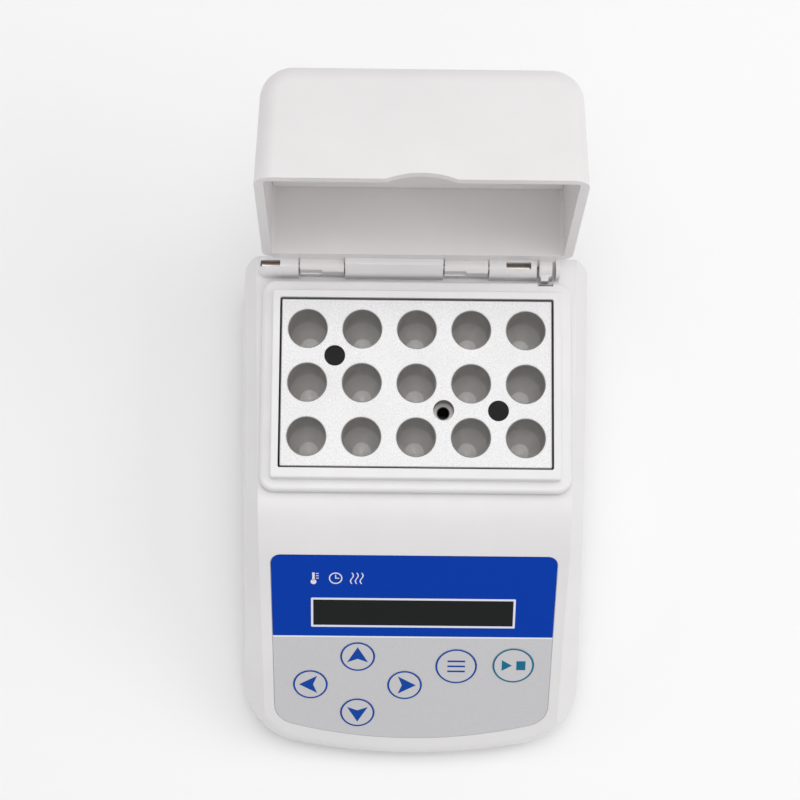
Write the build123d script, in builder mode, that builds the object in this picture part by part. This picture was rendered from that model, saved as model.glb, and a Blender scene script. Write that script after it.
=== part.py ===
"""Miniature dry block heater for 1.5 ml tubes, with its hinged lid standing open.

Millimetres. +X is the user's right, +Y the back, +Z up. The origin is on the table, under the
middle of the heater's footprint with the lid open. The casing is a drafted wedge: a flat deck
round the block, rounded over into a slope that carries the control panel.
"""

import os
from math import cos, radians, sin, tan

from build123d import *

os.makedirs("parts", exist_ok=True)

# Heating block and its wells
WELL_COLUMNS, WELL_ROWS = 5, 3
WELL_PITCH = 15.6
WELL_R, WELL_END_R = 5.5, 2.75
WELL_STRAIGHT, WELL_DEPTH = 17.0, 29.0
BLOCK_X, BLOCK_Y_SIZE, BLOCK_H = 77.5, 48.5, 34.0
BLOCK_TOP = 66.0
BLOCK_BASE = BLOCK_TOP - BLOCK_H
BLOCK_Y = 13.5
SCREW_HOLES = [(-1.5 * WELL_PITCH, 0.5 * WELL_PITCH), (1.5 * WELL_PITCH, -0.5 * WELL_PITCH)]
LIFT_HOLE = (0.5 * WELL_PITCH, -0.5 * WELL_PITCH)
SMALL_HOLE_R = 3.0

# Casing
DECK_Z = 58.5
SEAM_Z, BASE_Z = 7.0, 2.0
SEAM_GAP = 0.3
WALL = 2.4
DRAFT = 4.0
REAR_Y, FRONT_Y = BLOCK_Y + 42.0, BLOCK_Y - 103.0
REAR_HALF, MID_HALF, FRONT_HALF = 53.5, 52.6, 50.0
FRONT_SAG = 6.7
FRONT_CORNER_R, REAR_CORNER_R = 19.0, 8.0
SLOPE = 38.45
BEND_R = 26.0
BEND_Y = BLOCK_Y - 41.07
BEVEL_RUN, BEVEL_DROP = 4.0, 5.0
REAR_CREASE, KNEE_CREASE, TOE_CREASE = 46.9, 44.8, 43.6

# Frame round the block: a collar on a wider ledge
FRAME_Y = BLOCK_Y - 0.2
COLLAR_X, COLLAR_Y, COLLAR_TOP = 82.7, 54.4, BLOCK_TOP + 0.8
LEDGE_X, LEDGE_Y, LEDGE_TOP = 89.0, 61.1, BLOCK_TOP - 3.0
FRAME_OPEN_X, FRAME_OPEN_Y = 78.4, 49.4
SKIRT_X, SKIRT_Y, SKIRT_BASE = 83.4, 55.4, 54.0

# Hinge and lid; the lid is drawn in the frame of its hinge axis, as if closed
HINGE_Y, HINGE_Z = BLOCK_Y + 34.65, BLOCK_TOP - 4.0
BARREL_R = 2.85
PIN_R = 1.2
OPEN_ANGLE = 96.7
LEFT_LUG, MIDDLE_LUG, RIGHT_LUG = (-45.8, -34.2), (-20.75, 7.5), (20.85, 33.0)
STOP_RIBS = [(32.9, 34.5), (40.1, 41.2)]
LID_KNUCKLES = [(-33.75, -21.1), (7.95, 20.45)]
KNUCKLE_FLAT, KNUCKLE_STEP = 2.15, 1.75
LEVER, LEVER_REACH = (35.3, 39.0), 4.1
LEFT_PIN, RIGHT_PIN = (-45.0, -16.0), (4.0, 32.7)
LEFT_SLOT, RIGHT_SLOT = (-45.2, -39.5), (25.7, 32.9)
LID_HALF, LID_TOP_HALF = 44.5, 43.0
LID_RIM, LID_TOP = 1.3, 34.5
LID_BACK, LID_DEPTH = 4.3, 60.75
LID_WALL = 2.6
LID_ROUND, LID_FRONT_R, LID_REAR_R = 9.0, 5.0, 4.0
CAVITY_HALF, CAVITY_REAR, CAVITY_FRONT, CAVITY_R = 41.95, -7.25, -62.45, 1.1
LINER_LOW, LINER_TOP = 21.8, 23.4
SCOOP_WIDTH, SCOOP_RISE = 19.0, 1.8

# Control panel, measured down the slope from its top edge
PANEL_TOP_HALF, PANEL_FOOT_HALF = 41.3, 40.6
PANEL_SIDE, PANEL_LENGTH = 58.0, 64.6
PANEL_TOP_R, PANEL_FOOT_R = 2.75, 7.0
OVERLAY_DEPTH, OVERLAY_PROUD = 0.4, 0.1
WINDOW_X, WINDOW_S, WINDOW_CENTRE = 58.2, 8.8, 19.55
ARROW_X, ARROW_S, ARROW_ACROSS, ARROW_ALONG = -16.1, 45.2, 13.96, 10.12
ARROW_R, KEY_R = 5.15, 6.15
BUTTONS = {
    "up_button": (ARROW_X, ARROW_S - ARROW_ALONG, ARROW_R),
    "down_button": (ARROW_X, ARROW_S + ARROW_ALONG, ARROW_R),
    "left_button": (ARROW_X - ARROW_ACROSS, ARROW_S, ARROW_R),
    "right_button": (ARROW_X + ARROW_ACROSS, ARROW_S, ARROW_R),
    "program_button": (13.0, 38.25, KEY_R),
    "start_stop_button": (29.84, 37.8, KEY_R),
}
BUTTON_GAP = 0.08
STEM_R, STEM_TIP = 2.0, 2.9
SWITCH_SIZE, SWITCH_TOP, PLUNGER_TOP = 6.0, 4.9, 3.4
KEYPAD_TOP, BOARD_T = 8.4, 1.6
KEYPAD_X, KEYPAD_RANGE = 68.0, (31.5, 58.5)
KEYPAD_BOSSES = [(-30.0, 34.0), (-30.0, 56.0), (21.4, 34.0), (21.4, 56.0)]
DISPLAY_TOP, LCD_TOP = 7.2, 2.6
DISPLAY_X, DISPLAY_S = 76.0, 22.0
DISPLAY_BOSSES = [(x, s) for x in (-35.5, 35.5) for s in (10.6, 29.1)]

# Heater below the block
BASE_T, FILM_T, PAD_T = 5.0, 0.8, 6.0
HEATER_BOSSES = [(x, y) for x in (-36.0, 36.0) for y in (-31.5, 31.5)]
CUTOUT_AT = (20.0, -9.0)
SENSOR_Y = -4.0

# Case screws, feet, main board
CASE_BOSSES = [(-45.4, 33.9), (45.4, 33.9), (-37.6, -86.5), (37.6, -86.5)]
CASE_BOSS_TOPS = [DECK_Z - 4.5, DECK_Z - 4.5, 19.0, 19.0]
FEET = [(-36.0, 24.0), (36.0, 24.0), (-33.0, -78.0), (33.0, -78.0)]
FOOT_R, FOOT_TOP = 5.0, 2.6
MAIN_X, MAIN_RANGE, MAIN_Z = 76.0, (-40.0, 26.0), 9.5
STANDOFFS = [(x, y) for x in (-34.0, 34.0) for y in (-36.0, 22.0)]

# Rear sockets
POCKET_Y = BLOCK_Y + 40.1
INLET_X, INLET_Z = -28.0, 18.0
SWITCH_X, SWITCH_Z = 22.0, 18.6
ROCKER_TILT = 9.0

# Planes: down the slope from the panel's top edge, and the open lid about its hinge axis
bend_reach = BEND_R * tan(radians(SLOPE / 2))
slope_y = BEND_Y - bend_reach * cos(radians(SLOPE))
slope_z = DECK_Z - bend_reach * sin(radians(SLOPE))
slope_plane = Plane(
    origin=(0, slope_y, slope_z),
    x_dir=(1, 0, 0),
    z_dir=(0, -sin(radians(SLOPE)), cos(radians(SLOPE))),
)
lid_plane = Plane(
    origin=(0, HINGE_Y, HINGE_Z),
    x_dir=(1, 0, 0),
    z_dir=(0, sin(radians(OPEN_ANGLE)), cos(radians(OPEN_ANGLE))),
)
lid_forward = -lid_plane.y_dir
lid_section_plane = Plane(
    origin=lid_plane.from_local_coords((0, -LID_BACK, 0)), x_dir=(1, 0, 0), z_dir=lid_forward
)
lid_side_plane = Plane(origin=lid_plane.origin, x_dir=lid_plane.y_dir, z_dir=(1, 0, 0))
hinge_side_plane = Plane(origin=(0, HINGE_Y, HINGE_Z), x_dir=(0, 1, 0), z_dir=(1, 0, 0))


def save(piece, name):
    piece.part.label = name
    export_step(piece.part, f"parts/{name}.step")


def around_block(points):
    """Places given from the block's centre."""
    return [(x, BLOCK_Y + y) for x, y in points]


def down_slope(points):
    """Places given across and down the slope from the panel's top edge."""
    return [(x, -s) for x, s in points]


# ---------------------------------------------------------------- casing forms


def outline(inset):
    """Plan outline of the casing at the seam, bowed at the sides and front."""
    front_half, mid_half, rear_half = FRONT_HALF - inset, MID_HALF - inset, REAR_HALF - inset
    front_y, rear_y = FRONT_Y + inset, REAR_Y - inset
    corner_y = front_y + FRONT_SAG * (front_half / FRONT_HALF) ** 2
    with BuildSketch() as plan:
        with BuildLine():
            ThreePointArc((-front_half, corner_y), (0, front_y), (front_half, corner_y))
            ThreePointArc((front_half, corner_y), (mid_half, BLOCK_Y - 5), (rear_half, rear_y))
            Line((rear_half, rear_y), (-rear_half, rear_y))
            ThreePointArc((-rear_half, rear_y), (-mid_half, BLOCK_Y - 5), (-front_half, corner_y))
        make_face()
        fillet(plan.vertices().filter_by(lambda v: v.Y < 0), radius=FRONT_CORNER_R - inset)
        fillet(plan.vertices().filter_by(lambda v: v.Y > rear_y - 0.1), radius=REAR_CORNER_R - inset)
    return plan.sketch


def knee(inset):
    """Where the deck and the slope would meet, both moved in by inset."""
    return BEND_Y + inset * tan(radians(SLOPE / 2)), DECK_Z - inset


def bevel_cut(inset):
    """The corner removed along the right side of the deck, its bend and the slope."""
    knee_y, knee_z = knee(inset)
    reach = 75.0
    with BuildPart() as cut:
        with BuildLine() as path:
            FilletPolyline(
                (REAR_CREASE - inset, REAR_Y + 3, knee_z),
                (KNEE_CREASE - inset, knee_y, knee_z),
                (
                    TOE_CREASE - inset,
                    knee_y - reach * cos(radians(SLOPE)),
                    knee_z - reach * sin(radians(SLOPE)),
                ),
                radius=BEND_R - inset,
            )
        with BuildSketch(Plane(origin=path.line @ 0, x_dir=(1, 0, 0), z_dir=(0, -1, 0))):
            with BuildLine():
                Polyline(
                    (-0.25 * BEVEL_RUN, 0.25 * BEVEL_DROP),
                    (2 * BEVEL_RUN, -2 * BEVEL_DROP),
                    (3 * BEVEL_RUN, -2 * BEVEL_DROP),
                    (3 * BEVEL_RUN, 0.25 * BEVEL_DROP),
                    close=True,
                )
            make_face()
        sweep(path=path.line)
    return cut.part


def crown(inset):
    """Solid form of the upper casing, moved in by inset on the top and the sides."""
    knee_y, knee_z = knee(inset)
    reach = 120.0
    foot = (knee_y - reach * cos(radians(SLOPE)), knee_z - reach * sin(radians(SLOPE)))
    with BuildPart() as form:
        with BuildSketch(Plane.XY.offset(SEAM_Z)):
            add(outline(inset))
        extrude(amount=DECK_Z - SEAM_Z + 1, taper=DRAFT)
        with BuildSketch(Plane.YZ):
            with BuildLine():
                FilletPolyline(
                    (REAR_Y + 5, knee_z), (knee_y, knee_z), foot, radius=BEND_R - inset
                )
                Polyline(foot, (REAR_Y + 5, foot[1]), (REAR_Y + 5, knee_z))
            make_face()
        extrude(amount=80, both=True, mode=Mode.INTERSECT)
        cut = bevel_cut(inset)
        add(cut, mode=Mode.SUBTRACT)
        add(mirror(cut, about=Plane.YZ), mode=Mode.SUBTRACT)
    return form.part


def panel_outline(grow):
    """Outline of the control panel on the slope, with a bowed lower edge."""
    with BuildSketch() as shape:
        with BuildLine():
            Polyline(
                (-PANEL_FOOT_HALF, -PANEL_SIDE),
                (-PANEL_TOP_HALF, 0),
                (PANEL_TOP_HALF, 0),
                (PANEL_FOOT_HALF, -PANEL_SIDE),
            )
            ThreePointArc(
                (PANEL_FOOT_HALF, -PANEL_SIDE), (0, -PANEL_LENGTH), (-PANEL_FOOT_HALF, -PANEL_SIDE)
            )
        make_face()
        fillet(shape.vertices().group_by(Axis.Y)[-1], radius=PANEL_TOP_R)
        fillet(shape.vertices().group_by(Axis.Y)[0], radius=PANEL_FOOT_R)
        if grow:
            offset(amount=grow)
    return shape.sketch


def button_holes(grow):
    for x, s, r in BUTTONS.values():
        with Locations((x, -s)):
            Circle(r + grow)


def hinge_lug(low, high, end_round=0):
    """A round-topped lug standing on the deck; its left end can be rounded over."""
    with BuildPart() as lug:
        with BuildSketch(hinge_side_plane.offset(low)):
            Circle(BARREL_R)
            with Locations((0, -(HINGE_Z - DECK_Z) / 2 - 0.5)):
                Rectangle(2 * BARREL_R, HINGE_Z - DECK_Z + 1)
        extrude(amount=high - low)
        if end_round:
            end = lug.faces().sort_by(Axis.X)[0]
            fillet(end.edges().sort_by(Axis.Z)[1:], radius=end_round)
    return lug.part


# ---------------------------------------------------------------- casing

deck_normal = Vector(0, -sin(radians(SLOPE)), cos(radians(SLOPE)))

with BuildPart() as top_shell:
    add(crown(0))
    slope_face = top_shell.faces().filter_by(
        lambda f: (f.normal_at(f.center()) - deck_normal).length < 1e-3
    )[0]
    fillet(slope_face.edges().filter_by(lambda e: e.center().Y < -72), radius=3.5)
    add(crown(WALL), mode=Mode.SUBTRACT)

    # screw bosses under the deck, for the heater base and for the bottom shell
    with BuildSketch(Plane.XY.offset(BLOCK_BASE)):
        with Locations(around_block(HEATER_BOSSES)):
            Circle(3.2)
    extrude(amount=DECK_Z - 1.5 - BLOCK_BASE)
    for spot, top in zip(around_block(CASE_BOSSES), CASE_BOSS_TOPS):
        with BuildSketch(Plane.XY.offset(SEAM_Z + 0.2)):
            with Locations(spot):
                Circle(3.3)
        extrude(amount=top - SEAM_Z - 0.2)
    with BuildSketch(Plane.XY.offset(BLOCK_BASE)):
        with Locations(around_block(HEATER_BOSSES)):
            Circle(1.55)
    extrude(amount=12, mode=Mode.SUBTRACT)
    with BuildSketch(Plane.XY.offset(SEAM_Z)):
        with Locations(around_block(CASE_BOSSES)):
            Circle(1.55)
    extrude(amount=7.5, mode=Mode.SUBTRACT)

    # bosses behind the slope for the display and keypad boards
    with BuildSketch(slope_plane.offset(-WALL + 0.2)):
        with Locations(down_slope(KEYPAD_BOSSES)):
            Circle(2.2)
    extrude(amount=-(KEYPAD_TOP - WALL + 0.2))
    with BuildSketch(slope_plane.offset(-WALL + 0.2)):
        with Locations(down_slope(DISPLAY_BOSSES)):
            Circle(2.0)
    extrude(amount=-(DISPLAY_TOP - WALL + 0.2))
    with BuildSketch(slope_plane.offset(-WALL - 0.8)):
        with Locations(down_slope(KEYPAD_BOSSES + DISPLAY_BOSSES)):
            Circle(0.95)
    extrude(amount=-(KEYPAD_TOP - WALL), mode=Mode.SUBTRACT)

    # panel recess, display opening and button holes
    with BuildSketch(slope_plane.offset(-OVERLAY_DEPTH)):
        add(panel_outline(0.2))
    extrude(amount=2, mode=Mode.SUBTRACT)
    with BuildSketch(slope_plane):
        with Locations((0, -WINDOW_CENTRE)):
            Rectangle(WINDOW_X - 1.6, WINDOW_S - 1.6)
        button_holes(0.3)
    extrude(amount=-(WALL + 0.1), mode=Mode.SUBTRACT)

    # opening for the block and its frame
    with BuildSketch(Plane.XY.offset(SKIRT_BASE)):
        with Locations((0, FRAME_Y)):
            RectangleRounded(SKIRT_X + 0.3, SKIRT_Y + 0.3, 2.0)
    extrude(amount=8, mode=Mode.SUBTRACT)

    # hinge lugs, stop ribs and the pad that the open lid leans on
    add(hinge_lug(*LEFT_LUG, end_round=2.4))
    for low, high in (MIDDLE_LUG, RIGHT_LUG, *STOP_RIBS):
        add(hinge_lug(low, high))
    with BuildSketch(hinge_side_plane.offset(MIDDLE_LUG[0])):
        with BuildLine():
            foot = DECK_Z - HINGE_Z - 1
            Polyline((-2, 2), (-0.1, 3.9), (0.5, 4.04), (3.6, 3.68), (3.6, foot), (-2, foot), close=True)
        make_face()
    extrude(amount=MIDDLE_LUG[1] - MIDDLE_LUG[0])
    for low, high in (LEFT_PIN, RIGHT_PIN):
        with BuildSketch(hinge_side_plane.offset(low - 0.1)):
            Circle(PIN_R + 0.02)
        extrude(amount=high - low + 0.2, mode=Mode.SUBTRACT)
    for low, high in (LEFT_SLOT, RIGHT_SLOT):
        with BuildSketch(hinge_side_plane.offset(low)):
            with Locations((0.3, 2.5)):
                Rectangle(1.9, 5)
        extrude(amount=high - low, mode=Mode.SUBTRACT)
    # pocket that the stop lever dips into as the lid shuts
    with BuildSketch(Plane.XY.offset(DECK_Z - 1.2)):
        with Locations(((LEVER[0] + LEVER[1]) / 2, HINGE_Y - 0.75)):
            Rectangle(LEVER[1] - LEVER[0] + 0.7, 4.5)
    extrude(amount=3, mode=Mode.SUBTRACT)

    # flat pockets in the drafted rear wall, with the holes for the inlet and the switch
    with BuildSketch(Plane.XZ.offset(-POCKET_Y)):
        with Locations((INLET_X, INLET_Z)):
            RectangleRounded(15, 15, 2)
        with Locations((SWITCH_X, SWITCH_Z)):
            RectangleRounded(23, 17, 2)
    extrude(amount=-6, mode=Mode.SUBTRACT)
    with BuildSketch(Plane.XZ.offset(-POCKET_Y)):
        with Locations((INLET_X, INLET_Z)):
            Circle(4.05)
        with Locations((SWITCH_X, SWITCH_Z)):
            Rectangle(19.1, 13.1)
    extrude(amount=6, mode=Mode.SUBTRACT)
save(top_shell, "top_shell")

with BuildPart() as bottom_shell:
    with BuildSketch(Plane.XY.offset(BASE_Z)):
        add(outline(0))
    extrude(amount=SEAM_Z - SEAM_GAP - BASE_Z)
    fillet(bottom_shell.faces().sort_by(Axis.Z)[0].edges(), radius=2.0)
    with BuildSketch(Plane.XY.offset(BASE_Z + 2.2)):
        add(outline(4.3))
    extrude(amount=10, mode=Mode.SUBTRACT)
    with BuildSketch(Plane.XY.offset(SEAM_Z - SEAM_GAP)):
        add(outline(2.75))
        add(outline(4.3), mode=Mode.SUBTRACT)
    extrude(amount=1.4)
    with BuildSketch(Plane.XY.offset(BASE_Z + 1)):
        with Locations(around_block(CASE_BOSSES)):
            Circle(4.0)
    extrude(amount=SEAM_Z - BASE_Z - 1)
    with BuildSketch(Plane.XY.offset(BASE_Z + 1)):
        with Locations(around_block(STANDOFFS)):
            Circle(3.0)
    extrude(amount=MAIN_Z - BASE_Z - 1)
    # clearance holes and counterbores for the case screws, pilot holes for the board screws
    with BuildSketch(Plane.XY.offset(BASE_Z)):
        with Locations(around_block(CASE_BOSSES)):
            Circle(1.7)
    extrude(amount=8, mode=Mode.SUBTRACT)
    with BuildSketch(Plane.XY.offset(BASE_Z)):
        with Locations(around_block(CASE_BOSSES)):
            Circle(3.0)
    extrude(amount=2.6, mode=Mode.SUBTRACT)
    with BuildSketch(Plane.XY.offset(MAIN_Z)):
        with Locations(around_block(STANDOFFS)):
            Circle(1.3)
    extrude(amount=-5, mode=Mode.SUBTRACT)
    # recesses for the feet, and rows of cooling slots
    with BuildSketch(Plane.XY.offset(BASE_Z)):
        with Locations(around_block(FEET)):
            Circle(FOOT_R + 0.1)
    extrude(amount=FOOT_TOP - BASE_Z, mode=Mode.SUBTRACT)
    with BuildSketch(Plane.XY.offset(BASE_Z)):
        with Locations((0, BLOCK_Y - 7)):
            with GridLocations(22, 5, 2, 7):
                SlotOverall(16, 2)
    extrude(amount=4, mode=Mode.SUBTRACT)
save(bottom_shell, "bottom_shell")

with BuildPart() as block_frame:
    with BuildSketch(Plane.XY.offset(SKIRT_BASE)):
        with Locations((0, FRAME_Y)):
            RectangleRounded(SKIRT_X, SKIRT_Y, 1.8)
    extrude(amount=LEDGE_TOP - SKIRT_BASE)
    with BuildSketch(Plane.XY.offset(DECK_Z + 0.3)):
        with Locations((0, FRAME_Y + 0.05)):
            RectangleRounded(LEDGE_X, LEDGE_Y, 4.0)
    extrude(amount=LEDGE_TOP - DECK_Z - 0.3)
    fillet(block_frame.faces().sort_by(Axis.Z)[-1].outer_wire().edges(), radius=0.9)
    with BuildSketch(Plane.XY.offset(LEDGE_TOP - 1)):
        with Locations((0, FRAME_Y - 0.1)):
            RectangleRounded(COLLAR_X, COLLAR_Y, 0.6)
    extrude(amount=COLLAR_TOP - LEDGE_TOP + 1)
    fillet(block_frame.faces().sort_by(Axis.Z)[-1].outer_wire().edges(), radius=0.4)
    with BuildSketch(Plane.XY.offset(SKIRT_BASE)):
        with Locations((0, BLOCK_Y)):
            RectangleRounded(FRAME_OPEN_X, FRAME_OPEN_Y, 0.6)
    extrude(amount=20, mode=Mode.SUBTRACT)
    # notch that the lid's stop lever swings through
    with BuildSketch(Plane.XY.offset(DECK_Z + 1)):
        with Locations(((LEVER[0] + LEVER[1]) / 2, HINGE_Y - 4.7)):
            Rectangle(LEVER[1] - LEVER[0] + 0.7, 1.2)
    extrude(amount=6, mode=Mode.SUBTRACT)
save(block_frame, "block_frame")

with BuildPart() as rubber_feet:
    with BuildSketch():
        with Locations(around_block(FEET)):
            Circle(FOOT_R)
    extrude(amount=FOOT_TOP)
    fillet(rubber_feet.faces().group_by(Axis.Z)[0].edges(), radius=0.5)
save(rubber_feet, "rubber_feet")

with BuildPart() as case_screws:
    with BuildSketch(Plane.XY.offset(BASE_Z + 0.8)):
        with Locations(around_block(CASE_BOSSES)):
            Circle(2.8)
    extrude(amount=1.8)
    with BuildSketch(Plane.XY.offset(BASE_Z + 2.6)):
        with Locations(around_block(CASE_BOSSES)):
            Circle(1.5)
    extrude(amount=9)
    with BuildSketch(Plane.XY.offset(BASE_Z + 0.8)):
        with Locations(around_block(CASE_BOSSES)):
            Rectangle(3.4, 0.7)
            Rectangle(0.7, 3.4)
    extrude(amount=1, mode=Mode.SUBTRACT)
save(case_screws, "case_screws")

# ---------------------------------------------------------------- block and heater

with BuildPart() as heating_block:
    with BuildSketch(Plane.XY.offset(BLOCK_BASE)):
        with Locations((0, BLOCK_Y)):
            RectangleRounded(BLOCK_X, BLOCK_Y_SIZE, 0.5)
    extrude(amount=BLOCK_H)
    chamfer(heating_block.faces().sort_by(Axis.Z)[-1].edges(), length=0.3)
    with BuildSketch(Plane.XZ.offset(-BLOCK_Y)):
        with BuildLine():
            Polyline(
                (0, BLOCK_TOP + 1),
                (WELL_R + 0.3, BLOCK_TOP + 1),
                (WELL_R + 0.3, BLOCK_TOP),
                (WELL_R, BLOCK_TOP - 0.3),
                (WELL_R, BLOCK_TOP - WELL_STRAIGHT),
                (WELL_END_R, BLOCK_TOP - WELL_DEPTH),
                (0, BLOCK_TOP - WELL_DEPTH - 1.2),
                close=True,
            )
        make_face()
    well = revolve(axis=Axis((0, BLOCK_Y, 0), (0, 0, 1)), mode=Mode.PRIVATE)
    with GridLocations(WELL_PITCH, WELL_PITCH, WELL_COLUMNS, WELL_ROWS):
        add(well, mode=Mode.SUBTRACT)
    with BuildSketch(Plane.XY.offset(BLOCK_TOP)):
        with Locations(around_block(SCREW_HOLES)):
            Circle(SMALL_HOLE_R)
    extrude(amount=-26, mode=Mode.SUBTRACT)
    with BuildSketch(Plane.XY.offset(BLOCK_TOP)):
        with Locations(around_block(SCREW_HOLES)):
            Circle(1.7)
    extrude(amount=-BLOCK_H, mode=Mode.SUBTRACT)
    # stepped hole for a lifting screw
    with Locations((LIFT_HOLE[0], BLOCK_Y + LIFT_HOLE[1], BLOCK_TOP)):
        CounterBoreHole(radius=1.65, counter_bore_radius=SMALL_HOLE_R, counter_bore_depth=5.5, depth=20)
save(heating_block, "heating_block")

with BuildPart() as block_fixing_screws:
    with BuildSketch(Plane.XY.offset(BLOCK_TOP - 26)):
        with Locations(around_block(SCREW_HOLES)):
            Circle(2.75)
    extrude(amount=3)
    with BuildSketch(Plane.XY.offset(BLOCK_TOP - 26)):
        with Locations(around_block(SCREW_HOLES)):
            Circle(1.5)
    extrude(amount=-12)
    with BuildSketch(Plane.XY.offset(BLOCK_TOP - 23)):
        with Locations(around_block(SCREW_HOLES)):
            RegularPolygon(radius=1.25, side_count=6, major_radius=False)
    extrude(amount=-1.6, mode=Mode.SUBTRACT)
save(block_fixing_screws, "block_fixing_screws")

with BuildPart() as block_screw_plugs:
    with BuildSketch(Plane.XY.offset(BLOCK_TOP - 4.2)):
        with Locations(around_block(SCREW_HOLES)):
            Circle(SMALL_HOLE_R - 0.03)
    extrude(amount=4)
save(block_screw_plugs, "block_screw_plugs")

with BuildPart() as heater_base:
    with BuildSketch(Plane.XY.offset(BLOCK_BASE - BASE_T)):
        with Locations((0, BLOCK_Y)):
            Rectangle(76, 48)
            with GridLocations(72, 1, 2, 1):
                RectangleRounded(9, 71.8, 4.4)
        with Locations(around_block(HEATER_BOSSES)):
            Circle(1.7, mode=Mode.SUBTRACT)
        with Locations(around_block(SCREW_HOLES)):
            Circle(1.55, mode=Mode.SUBTRACT)
    extrude(amount=BASE_T)
    with BuildSketch(Plane.YZ.offset(-42)):
        with Locations((BLOCK_Y + SENSOR_Y, BLOCK_BASE - BASE_T / 2)):
            Circle(1.55)
    extrude(amount=32, mode=Mode.SUBTRACT)
save(heater_base, "heater_base")

with BuildPart() as heater_base_screws:
    with BuildSketch(Plane.XY.offset(BLOCK_BASE - BASE_T)):
        with Locations(around_block(HEATER_BOSSES)):
            Circle(2.8)
    extrude(amount=-2)
    with BuildSketch(Plane.XY.offset(BLOCK_BASE - BASE_T)):
        with Locations(around_block(HEATER_BOSSES)):
            Circle(1.5)
    extrude(amount=15)
save(heater_base_screws, "heater_base_screws")

film_top = BLOCK_BASE - BASE_T
with BuildPart() as heater_film:
    with BuildSketch(Plane.XY.offset(film_top - FILM_T)):
        with Locations((0, BLOCK_Y)):
            RectangleRounded(62, 44, 3)
        with Locations(around_block([CUTOUT_AT])):
            Circle(8.5, mode=Mode.SUBTRACT)
        with Locations(around_block(SCREW_HOLES)):
            Circle(2.5, mode=Mode.SUBTRACT)
    extrude(amount=FILM_T)
save(heater_film, "heater_film")

with BuildPart() as insulation_pad:
    with BuildSketch(Plane.XY.offset(film_top - FILM_T - PAD_T)):
        with Locations((0, BLOCK_Y)):
            RectangleRounded(62, 46, 3)
        with Locations(around_block([CUTOUT_AT])):
            Circle(9.5, mode=Mode.SUBTRACT)
        with Locations(around_block(SCREW_HOLES)):
            Circle(2.5, mode=Mode.SUBTRACT)
    extrude(amount=PAD_T)
save(insulation_pad, "insulation_pad")

with BuildPart() as insulation_jacket:
    with BuildSketch(Plane.XY.offset(BLOCK_BASE + 0.5)):
        with Locations((0, BLOCK_Y)):
            RectangleRounded(83, 55, 2)
            RectangleRounded(BLOCK_X + 0.4, BLOCK_Y_SIZE + 0.4, 0.7, mode=Mode.SUBTRACT)
    extrude(amount=SKIRT_BASE - BLOCK_BASE - 1)
save(insulation_jacket, "insulation_jacket")

with BuildPart() as thermal_cutout:
    with BuildSketch(Plane.XY.offset(film_top)):
        with Locations(around_block([CUTOUT_AT])):
            Circle(7.5)
    extrude(amount=-4.5)
    with BuildSketch(Plane.XY.offset(film_top - 4.5)):
        with Locations(around_block([CUTOUT_AT])):
            Circle(6.2)
    extrude(amount=-3)
    with BuildSketch(Plane.XY.offset(film_top - 7.5)):
        with Locations(around_block([(CUTOUT_AT[0] - 3, CUTOUT_AT[1]), (CUTOUT_AT[0] + 3, CUTOUT_AT[1])])):
            Rectangle(0.8, 4.8)
    extrude(amount=-3.5)
save(thermal_cutout, "thermal_cutout")

with BuildPart() as temperature_sensor:
    with BuildSketch(Plane.YZ.offset(-42)):
        with Locations((BLOCK_Y + SENSOR_Y, BLOCK_BASE - BASE_T / 2)):
            Circle(1.5)
    extrude(amount=30)
save(temperature_sensor, "temperature_sensor")

# ---------------------------------------------------------------- control panel

with BuildPart() as panel_overlay:
    with BuildSketch(slope_plane.offset(-OVERLAY_DEPTH)):
        add(panel_outline(0))
        with Locations((0, -WINDOW_CENTRE)):
            Rectangle(WINDOW_X, WINDOW_S, mode=Mode.SUBTRACT)
        for x, s, r in BUTTONS.values():
            with Locations((x, -s)):
                Circle(r, mode=Mode.SUBTRACT)
    extrude(amount=OVERLAY_DEPTH + OVERLAY_PROUD)
save(panel_overlay, "panel_overlay")

with BuildPart() as display_window:
    with BuildSketch(slope_plane.offset(-OVERLAY_DEPTH)):
        with Locations((0, -WINDOW_CENTRE)):
            Rectangle(WINDOW_X - 0.1, WINDOW_S - 0.1)
    extrude(amount=OVERLAY_DEPTH + OVERLAY_PROUD - 0.05)
save(display_window, "display_window")

with BuildPart() as lcd_panel:
    with BuildSketch(slope_plane.offset(-LCD_TOP)):
        with Locations((0, -WINDOW_CENTRE)):
            RectangleRounded(64, 16, 0.8)
    extrude(amount=-(DISPLAY_TOP - LCD_TOP))
save(lcd_panel, "lcd_panel")

with BuildPart() as display_board:
    with BuildSketch(slope_plane.offset(-DISPLAY_TOP)):
        with Locations((0, -WINDOW_CENTRE)):
            Rectangle(DISPLAY_X, DISPLAY_S)
        with Locations(down_slope(DISPLAY_BOSSES)):
            Circle(1.1, mode=Mode.SUBTRACT)
    extrude(amount=-BOARD_T)
save(display_board, "display_board")

with BuildPart() as keypad_board:
    with BuildSketch(slope_plane.offset(-KEYPAD_TOP)):
        with Locations((0, -sum(KEYPAD_RANGE) / 2)):
            Rectangle(KEYPAD_X, KEYPAD_RANGE[1] - KEYPAD_RANGE[0])
        with Locations(down_slope(KEYPAD_BOSSES)):
            Circle(1.1, mode=Mode.SUBTRACT)
    extrude(amount=-BOARD_T)
save(keypad_board, "keypad_board")

with BuildPart() as panel_screws:
    for bosses, face in ((KEYPAD_BOSSES, KEYPAD_TOP + BOARD_T), (DISPLAY_BOSSES, DISPLAY_TOP + BOARD_T)):
        with BuildSketch(slope_plane.offset(-face)):
            with Locations(down_slope(bosses)):
                Circle(1.9)
        extrude(amount=-1.3)
        with BuildSketch(slope_plane.offset(-face)):
            with Locations(down_slope(bosses)):
                Circle(0.9)
        extrude(amount=5)
save(panel_screws, "panel_screws")

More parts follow.
